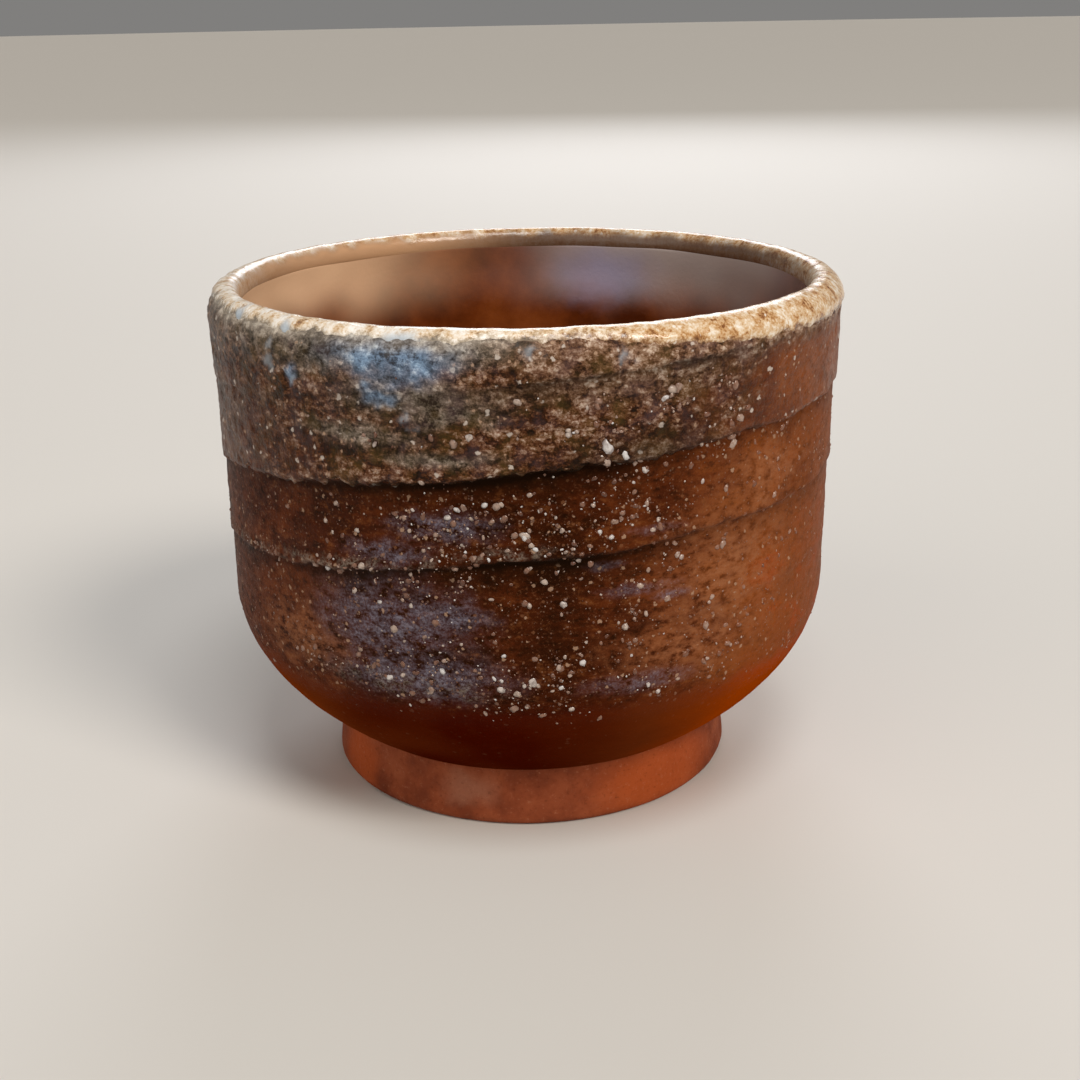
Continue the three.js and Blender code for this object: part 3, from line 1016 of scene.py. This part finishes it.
def makeGrit():
    pick = random.Random(grit["seed"])
    bm = bmesh.new()
    addMasks(bm, "grit")
    bm.loops.layers.uv.new("OFBake")
    cells = math.ceil(math.sqrt(grit["count"]))  # the grains' own map is a square of small cells
    made = 0
    while made < grit["count"]:
        angle = pick.uniform(-math.pi, math.pi)
        height = pick.uniform(cup["foot"] + 3, lipBase - 1)
        luck, size, bright = pick.random(), pick.random(), pick.random()
        place, outward = wallPlace(angle, height)
        relief, _, crumbs = wallAt(place, angle)
        front = hump(away(angle, math.radians(-2)), 0, 0.65)
        crumbs *= spots(place, bowl["crumbs"], 0.3)
        chance = 0.12 + 0.5 * front + 0.8 * spots(place, grit["thick"]) + 1.6 * crumbs
        chance *= 0.2 + 1.3 * smooth(-0.3, 0.4, grain(place, 4.5, 43))  # in loose clusters
        coated = height > coatEdge(place, angle)
        shoulder = spots(place, grit["shoulder"]) if coated else 0
        chance *= smooth(14.5, 19, height) * (0.25 + 1.2 * shoulder if coated else 1)
        if luck > chance:
            continue
        aside = smooth(35, 60, abs(math.degrees(angle)))
        size = grit["smallest"] + (grit["largest"] - grit["smallest"]) * size**5 * (1 - 0.4 * aside)
        size *= (0.65 + 0.45 * bright) * (1 + 0.8 * min(crumbs, 1) + 0.6 * shoulder)
        if coated:
            relief += coatBody(place, angle)[1] * 0.9
        wide, tall = pick.uniform(0.8, 1.4), pick.uniform(0.7, 1.1)
        stretch = Matrix.Diagonal((wide, tall, grit["flatness"], 1))
        aim = outward.to_track_quat("Z", "Y").to_matrix().to_4x4()
        twist = Matrix.Rotation(pick.uniform(0, math.pi), 4, "Z")
        middle = place + outward * (relief - size * grit["sunk"])
        one = bmesh.new()
        masks = addMasks(one, "grit")
        atlas = one.loops.layers.uv.new("OFBake")
        shape = Matrix.Translation(middle) @ aim @ twist @ stretch
        bmesh.ops.create_uvsphere(
            one, u_segments=8, v_segments=4, radius=size, matrix=shape, calc_uvs=True
        )
        dim = 0.5 * smooth(15, 55, abs(math.degrees(angle))) * (1 - min(crumbs, 1))
        bright = (0.05 + 0.95 * bright**2 + 0.5 * crumbs + 0.2 * shoulder) * (1 - dim)
        for vert in one.verts:
            rise = (vert.co - middle).dot(outward) / (size * grit["flatness"])
            vert.co += (vert.co - middle) * grit["lumps"] * grain(vert.co, size * 0.9, 41)
            vert[masks["tint"]] = bright
            vert[masks["pale"]] = smooth(0.35, 0.95, rise) * (1 - 0.5 * dim)  # stained in the clay
            vert[masks["warmth"]] = warmthAt(place, angle)
        for face in one.faces:
            for loop in face.loops:
                spot = loop[atlas].uv * 0.9 + Vector((0.05 + made % cells, 0.05 + made // cells))
                loop[atlas].uv = spot / cells
        mesh = bpy.data.meshes.new("grain")
        one.to_mesh(mesh)
        one.free()
        bm.from_mesh(mesh)
        bpy.data.meshes.remove(mesh)
        made += 1
    bmesh.ops.recalc_face_normals(bm, faces=bm.faces[:])
    addPiece(bm, "feldspar_grains", feldsparGrit())


# stage and light, in metres
studio = {
    "floorRadius": 6,
    "floorColour": "#d9d6d1",
    "worldColour": "#ebe9e6",
    "worldStrength": 0.26,
    "aim": (0, 0, 0.025),  # what the lamps point at
    # kind, place, spread in degrees for a sun and in metres for a disk, power, colour
    "lamps": {
        "keyLamp": ("SUN", (0.45, -0.5, 0.6), 20, 1.6, "#fff6ea"),
        "fillLamp": ("SUN", (-0.6, -0.6, 0.45), 60, 0.7, "#fff3e4"),
        "topLamp": ("AREA", (0.08, -0.32, 0.75), 0.3, 2.0, "#ffffff"),
        "backLamp": ("AREA", (0.08, 0.75, 0.45), 0.45, 2.2, "#f4f7ff"),
    },
}


def makeFloor():
    bm = bmesh.new()
    bmesh.ops.create_circle(bm, cap_ends=True, segments=64, radius=studio["floorRadius"])
    mesh = bpy.data.meshes.new("floor")
    bm.to_mesh(mesh)
    bm.free()
    material = bpy.data.materials.new("paleFloor")
    material.use_nodes = True
    shader = material.node_tree.nodes["Principled BSDF"]
    shader.inputs["Base Color"].default_value = linear(studio["floorColour"])
    shader.inputs["Roughness"].default_value = 0.7
    shader.inputs["Specular IOR Level"].default_value = 0.2
    mesh.materials.append(material)
    floor = bpy.data.objects.new("floor", mesh)
    scene.collection.objects.link(floor)


def addLamp(name, kind, place, spread, power, colour):
    data = bpy.data.lights.new(name, kind)
    data.energy = power
    data.color = linear(colour)[:3]
    if kind == "SUN":
        data.angle = math.radians(spread)
    else:
        data.shape = "DISK"
        data.size = spread
    lamp = bpy.data.objects.new(name, data)
    lamp.location = place
    ahead = Vector(studio["aim"]) - Vector(place)
    lamp.rotation_euler = ahead.to_track_quat("-Z", "Y").to_euler()
    scene.collection.objects.link(lamp)


def lightStudio():
    world = bpy.data.worlds.new("studio")
    scene.world = world
    world.use_nodes = True
    background = world.node_tree.nodes["Background"]
    background.inputs["Color"].default_value = linear(studio["worldColour"])
    background.inputs["Strength"].default_value = studio["worldStrength"]
    for name, settings in studio["lamps"].items():
        addLamp(name, *settings)


# the photograph's view: a close camera, a little above the cup and looking down at it
view = {
    "place": (0, -150, 75.81),  # millimetres
    "tilt": 19.637,  # degrees, as the next two
    "pan": 0.5,
    "roll": -1.099,
    "lens": 50.04,
    "sensor": 36,
}


def placeCamera():
    data = bpy.data.cameras.new("photoView")
    data.lens = view["lens"]
    data.sensor_width = view["sensor"]
    data.clip_start = 0.01
    camera = bpy.data.objects.new("photoView", data)
    pan, tilt = math.radians(view["pan"]), math.radians(view["tilt"])
    ahead = Vector((math.sin(pan) * math.cos(tilt), math.cos(pan) * math.cos(tilt), -math.sin(tilt)))
    right = Vector((math.cos(pan), -math.sin(pan), 0))
    level = Matrix((right, right.cross(ahead), -ahead)).transposed().to_4x4()
    roll = Matrix.Rotation(math.radians(view["roll"]), 4, "Z")
    camera.matrix_world = Matrix.Translation(Vector(view["place"]) * mm) @ level @ roll
    scene.collection.objects.link(camera)
    scene.camera = camera


makeBowl()
makeFoot()
makeCoat()
makeLip()
makeLiner()
makeGrit()
makeFloor()
lightStudio()
placeCamera()
scene.view_settings.view_transform = "Standard"
print("stage, lamps and camera set")
